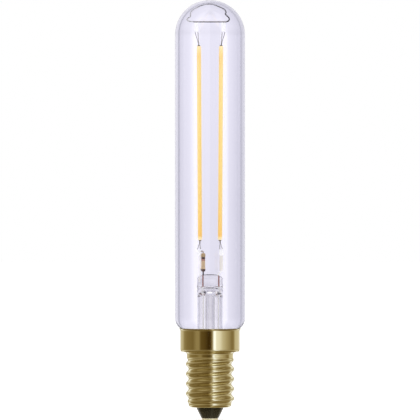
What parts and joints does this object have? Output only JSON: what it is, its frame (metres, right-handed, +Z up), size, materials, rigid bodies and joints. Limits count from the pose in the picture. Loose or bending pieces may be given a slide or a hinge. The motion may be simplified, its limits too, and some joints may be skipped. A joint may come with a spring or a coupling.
{
  "type": "tubular filament bulb",
  "caption": "Slim tubular light bulb: clear domed glass tube, upright filaments between a top wire and a glass stem, and a small brass screw cap.",
  "frame": {"origin": "middle of the centre contact's underside", "axes": "+Z up the bulb's axis to the top of the dome, +X across the filaments, towards the right in the picture; the front is -Y"},
  "size_m": [0.02, 0.02, 0.12],
  "materials": {
    "clear_glass": "clear, polished",
    "stem_glass": "clear lead glass, fire polished",
    "nickel_wire": "drawn nickel-plated iron",
    "dumet": "copper-clad wire with a borated skin",
    "tab_steel": "stamped strip",
    "spring_steel": "bright drawn wire",
    "phosphor": "silicone with phosphor, satin",
    "carrier_ceramic": "white, matt",
    "led_chip": "polished",
    "resistor_body": "enamel, satin",
    "pale_ceramic": "unglazed",
    "cap_brass": "rolled, satin polish",
    "contact_brass": "stamped, plain",
    "black_glass": "opaque moulded glass",
    "solder": "tin solder, dull",
    "cement": "baked capping cement",
    "board": "glass-fibre laminate",
    "capacitor_sleeve": "shrunk sleeve",
    "black_resin": "moulded resin",
    "fuse_body": "coated"
  },
  "bodies": {
    "root": {"glass_envelope": "clear_glass", "flare_stem": "stem_glass", "exhaust_tube": "stem_glass", "left_outer_lead": "nickel_wire", "right_outer_lead": "nickel_wire", "left_dumet_wire": "dumet", "right_dumet_wire": "dumet", "left_support_wire": "nickel_wire", "left_resistor": "resistor_body", "left_resistor_lower_lead": "nickel_wire", "left_resistor_upper_lead": "nickel_wire", "right_resistor_lower_lead": "nickel_wire", "right_resistor": "pale_ceramic", "right_resistor_upper_lead": "nickel_wire", "right_filament_coat": "phosphor", "left_filament_coat": "phosphor", "right_filament_substrate": "carrier_ceramic", "left_filament_substrate": "carrier_ceramic", "right_filament_chips": "led_chip", "left_filament_chips": "led_chip", "right_top_tab": "tab_steel", "left_top_tab": "tab_steel", "right_base_tab": "tab_steel", "left_base_tab": "tab_steel", "bridge_wire": "nickel_wire", "spring_loop": "spring_steel", "cap_shell": "cap_brass", "cap_insulator": "black_glass", "centre_contact": "contact_brass", "contact_solder": "solder", "capping_cement": "cement", "driver_board": "board", "smoothing_capacitor": "capacitor_sleeve", "driver_chip": "black_resin", "bridge_rectifier": "black_resin", "fusible_resistor": "fuse_body", "contact_wire": "nickel_wire", "shell_wire": "nickel_wire"}
  },
  "joints": []
}
